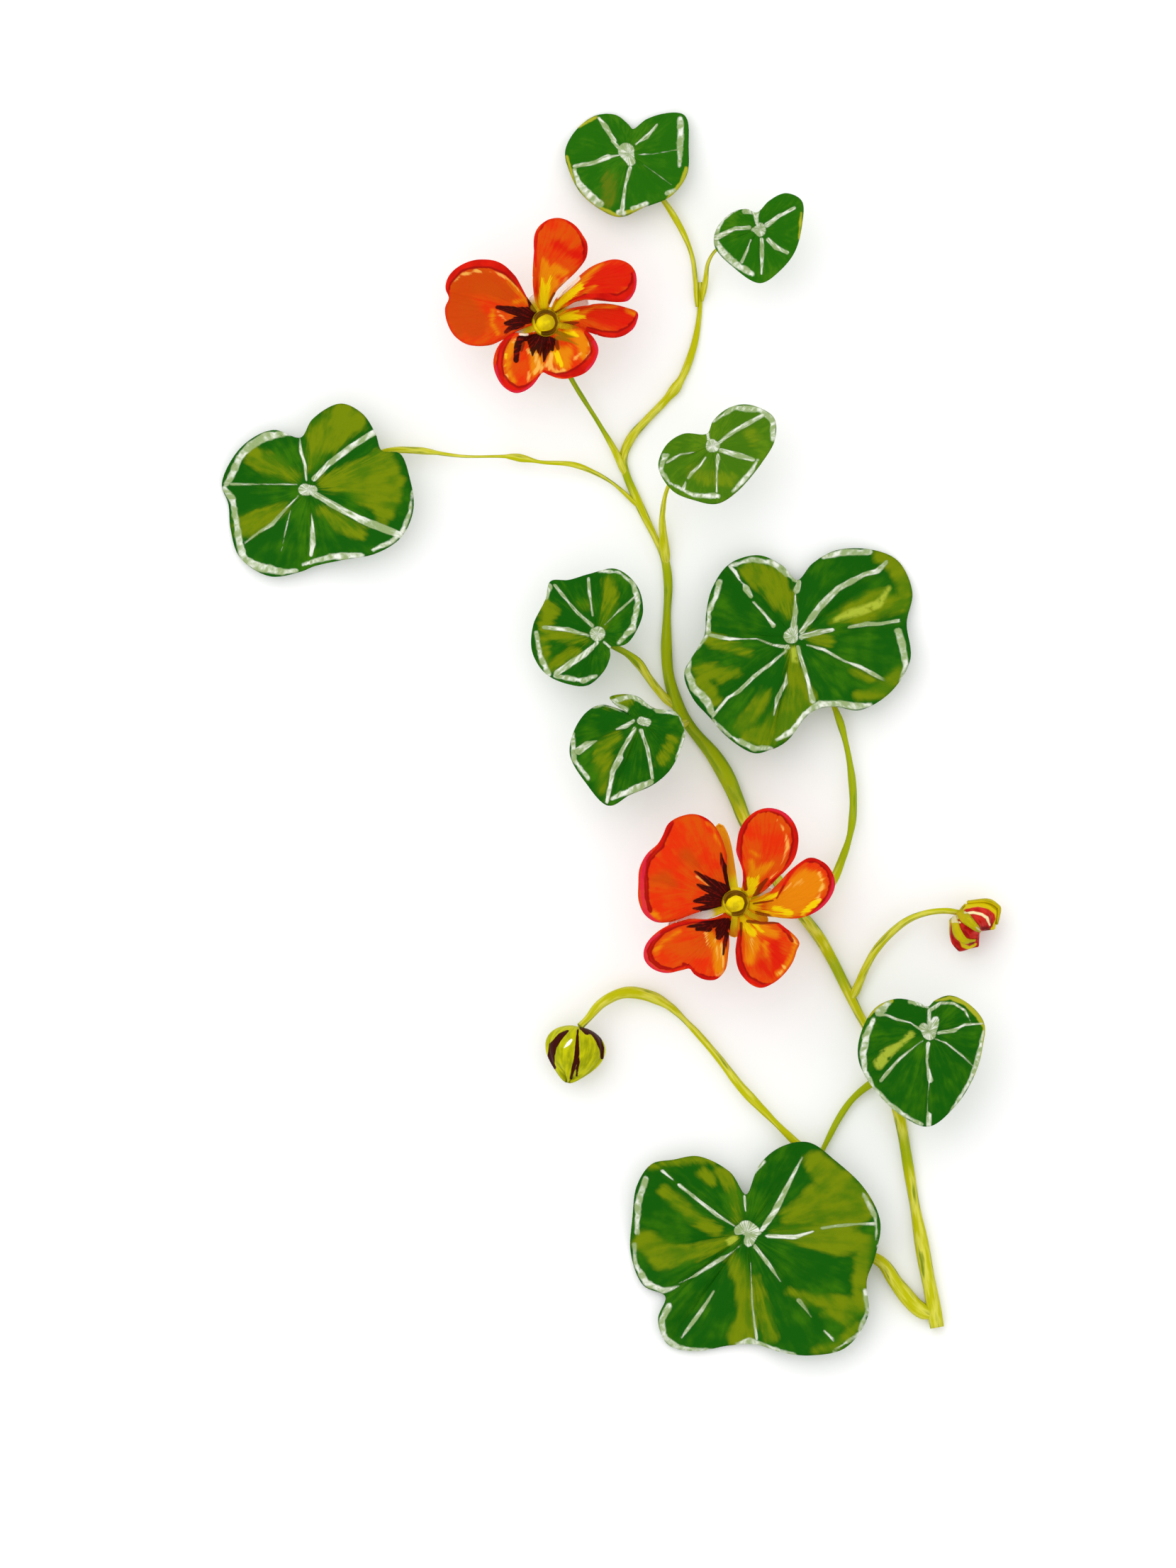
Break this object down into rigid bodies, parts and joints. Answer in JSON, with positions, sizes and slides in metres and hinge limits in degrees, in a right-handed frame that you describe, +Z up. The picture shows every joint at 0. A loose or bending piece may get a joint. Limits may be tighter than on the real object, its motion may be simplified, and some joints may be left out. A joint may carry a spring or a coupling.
{
  "type": "nasturtium spray",
  "caption": "Cut climbing nasturtium spray lying flat: round shield leaves on long stalks, open spurred orange flowers, a closed bud and an opening bud on a soft trailing stem.",
  "frame": {"origin": "on the surface that the spray lies on, under the middle of its outline seen from above", "axes": "+Y along the spray from the cut end of its stem to its tip, +X to the right seen from above, +Z up out of the surface"},
  "size_m": [0.1978, 0.3159, 0.0292],
  "materials": {
    "leaf_green": "waxy, dull",
    "leaf_pale_green": "waxy, dull",
    "stem_green": "smooth, slightly glossy",
    "petal_orange": "soft, velvety",
    "calyx_yellow": "soft, matt",
    "seed_case_yellow": "smooth, matt",
    "bud_green": "smooth, slightly glossy",
    "bud_red": "crumpled, soft"
  },
  "bodies": {
    "root": {"leaf_1_blade": "leaf_green", "leaf_2_blade": "leaf_green", "leaf_3_blade": "leaf_green", "leaf_4_blade": "leaf_pale_green", "leaf_5_blade": "leaf_green", "leaf_6_blade": "leaf_green", "leaf_7_blade": "leaf_green", "leaf_8_blade": "leaf_green", "leaf_9_blade": "leaf_pale_green", "flower_upper_petal_1": "petal_orange", "flower_upper_petal_2": "petal_orange", "flower_upper_petal_3": "petal_orange", "flower_upper_petal_4": "petal_orange", "flower_upper_petal_5": "petal_orange", "flower_upper_calyx": "calyx_yellow", "flower_upper_centre": "seed_case_yellow", "flower_lower_petal_1": "petal_orange", "flower_lower_petal_2": "petal_orange", "flower_lower_petal_3": "petal_orange", "flower_lower_petal_4": "petal_orange", "flower_lower_petal_5": "petal_orange", "flower_lower_calyx": "calyx_yellow", "flower_lower_centre": "seed_case_yellow", "bud_green": "bud_green", "bud_red_calyx": "bud_green", "bud_red_petals": "bud_red", "stem": "stem_green", "side_shoot": "stem_green", "leaf_1_stalk": "stem_green", "leaf_2_stalk": "stem_green", "leaf_3_stalk": "stem_green", "leaf_4_stalk": "stem_green", "leaf_5_stalk": "stem_green", "leaf_6_stalk": "stem_green", "leaf_7_stalk": "stem_green", "leaf_8_stalk": "stem_green", "leaf_9_stalk": "stem_green", "flower_upper_stalk": "stem_green", "flower_lower_stalk": "stem_green", "bud_red_stalk": "stem_green", "bud_green_stalk": "stem_green"}
  },
  "joints": []
}
